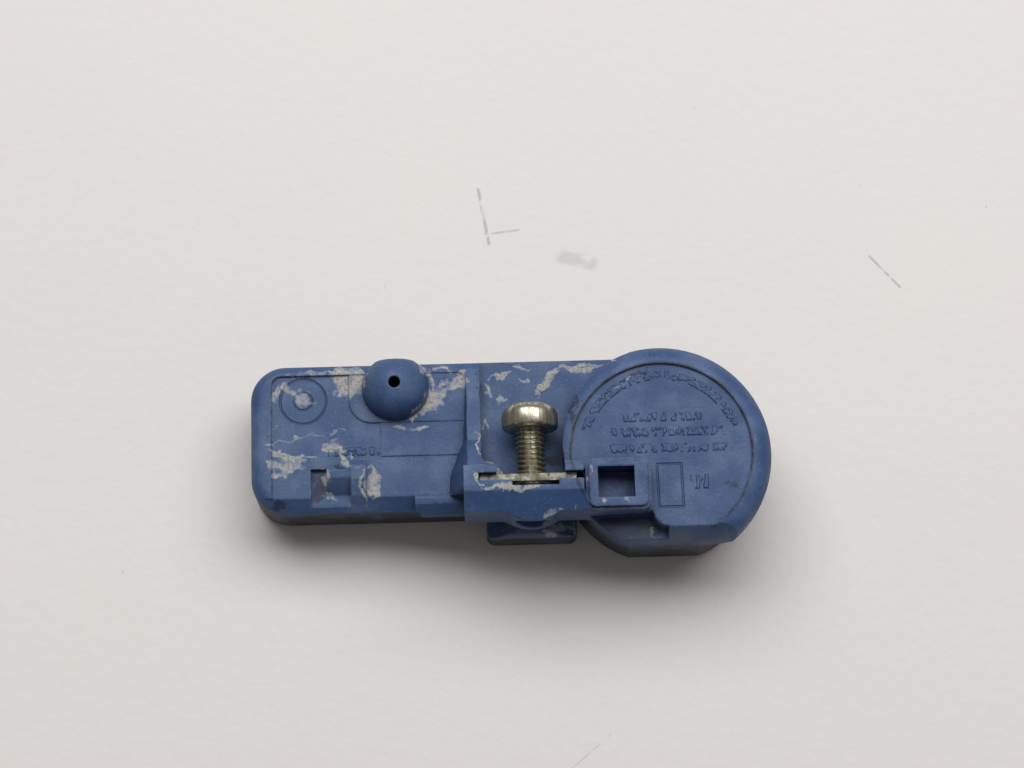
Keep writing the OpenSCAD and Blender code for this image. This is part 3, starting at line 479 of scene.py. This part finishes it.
def screw_surface():
    """Screw as one surface round its axis: for every angle a profile from the bottom of the
    drive, over the pan head, along the thread and to the tip. The thread's radius follows a
    triangle wave of the distance along the axis less the pitch times the turn."""
    sides = 96
    angle = np.linspace(0, 2 * np.pi, sides, endpoint=False)
    top = HEAD_Y + HEAD_H
    floor = top - DRIVE_DEPTH
    rings = [(0.001, floor, 0), (0.80, floor - 0.05, 1), (0.97, floor, 1), (1, floor + 0.1, 1),
             (1, top - 0.12, 1), (1.05, top - 0.03, 1)]
    rows = [np.stack([np.full(sides, y), lobes(angle, DRIVE_R) * r if lobed else np.full(sides, r)])
            for r, y, lobed in rings]
    crown = [(1.62, 0.0), (1.9, -0.06), (2.2, -0.19), (2.46, -0.40), (2.66, -0.68), (2.77, -1.0),
             (HEAD_R, -1.35), (HEAD_R, -2.2), (2.74, -2.38), (2.62, -HEAD_H), (1.62, -HEAD_H)]
    rows += [np.stack([np.full(sides, top + dy), np.full(sides, r)]) for r, dy in crown]
    for y in np.arange(HEAD_Y - 0.06, TIP_Y + 0.001, -PITCH / 12):
        phase = (y / PITCH - angle / (2 * np.pi)) % 1.0
        wave = np.clip(1.25 * np.abs(2 * phase - 1) - 0.125, 0, 1)
        taper = np.clip((y - TIP_Y) / 0.5, 0, 1)
        runout = np.clip((HEAD_Y - y) / 0.4, 0, 1)
        radius = THREAD_R - THREAD_DEPTH * (1 - wave) - 0.38 * (1 - taper) * wave
        radius = np.where(runout < 1, radius * runout + (THREAD_R - 0.1) * (1 - runout), radius)
        rows.append(np.stack([np.full(sides, y), radius]))
    rows.append(np.stack([np.full(sides, TIP_Y), np.full(sides, 0.001)]))
    y, r = np.array(rows).transpose(1, 0, 2)
    x, z = SCREW_X + r * np.cos(angle), SCREW_Z + r * np.sin(angle)
    points = np.stack([x, y, z], -1).reshape(-1, 3) * MM
    return surface("threaded_screw", points, ring_faces(len(rows), sides))


def finish_pieces():
    """Gives every CAD node its finish and puts the threaded screw in its place."""
    steel = screw_steel()
    screw = screw_surface()
    screw.data.materials.append(steel)
    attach(screw, "screw")
    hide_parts("screw")
    finishes = {name: inner_material(name, *rest) for name, *rest in INNER}
    finishes["blue_plastic"] = blue_plastic()
    finishes["cover_plastic"] = dark_plastic()
    finishes["plate_steel"] = plate_steel()
    finishes["screw_steel"] = steel
    slots = {sub["node"]: sub["material_slot"] for sub in frame["record"]["subparts"]}
    for name, obj in frame["nodes"].items():
        obj.data.materials.clear()
        obj.data.materials.append(finishes[slots[name]])


# ---- table, light and camera


def make_table():
    """Large flat table top under the part."""
    side = 1.5
    corners = np.array([[-side, -side, 0], [side, -side, 0], [side, side, 0], [-side, side, 0]])
    table = surface("table_top", corners, np.array([[0, 1, 2, 3]]))
    table.data.materials.append(table_top())


def make_light():
    """A wide soft window behind and above the part, and a dim pale surround."""
    light = bpy.data.lights.new("window", "AREA")
    light.shape = "RECTANGLE"
    light.size, light.size_y = 1.10, 0.48
    light.energy = 6.15
    lamp = bpy.data.objects.new("window", light)
    lamp.location = (0.06, 0.36, 0.61)
    lamp.rotation_euler = (-lamp.location).to_track_quat("-Z", "Y").to_euler()
    bpy.context.scene.collection.objects.link(lamp)
    world = bpy.data.worlds.new("surround")
    world.use_nodes = True
    world.node_tree.nodes["Background"].inputs["Color"].default_value = linear("#F6F3F0")
    world.node_tree.nodes["Background"].inputs["Strength"].default_value = 0.16
    bpy.context.scene.world = world


def make_camera():
    """Camera above the part and a little in front, as the photo was taken."""
    tilt, yaw = math.radians(76.6), math.radians(1.5)
    right = Vector((math.cos(yaw), -math.sin(yaw), 0))
    level = math.cos(tilt)
    ahead = Vector((math.sin(yaw) * level, math.cos(yaw) * level, -math.sin(tilt)))
    turn = Matrix((right, right.cross(ahead), -ahead)).transposed().to_4x4()
    data = bpy.data.cameras.new("camera")
    data.sensor_fit = "HORIZONTAL"
    data.sensor_width = 36.0
    data.lens = 105.47
    camera = bpy.data.objects.new("camera", data)
    camera.matrix_world = Matrix.Translation(Vector((-1.466, -62.827, 301.131)) * MM) @ turn
    bpy.context.scene.collection.objects.link(camera)
    bpy.context.scene.camera = camera


make_camera()
make_table()
make_light()
finish_pieces()
bpy.context.scene.view_settings.view_transform = "Standard"

bpy.context.view_layer.update()
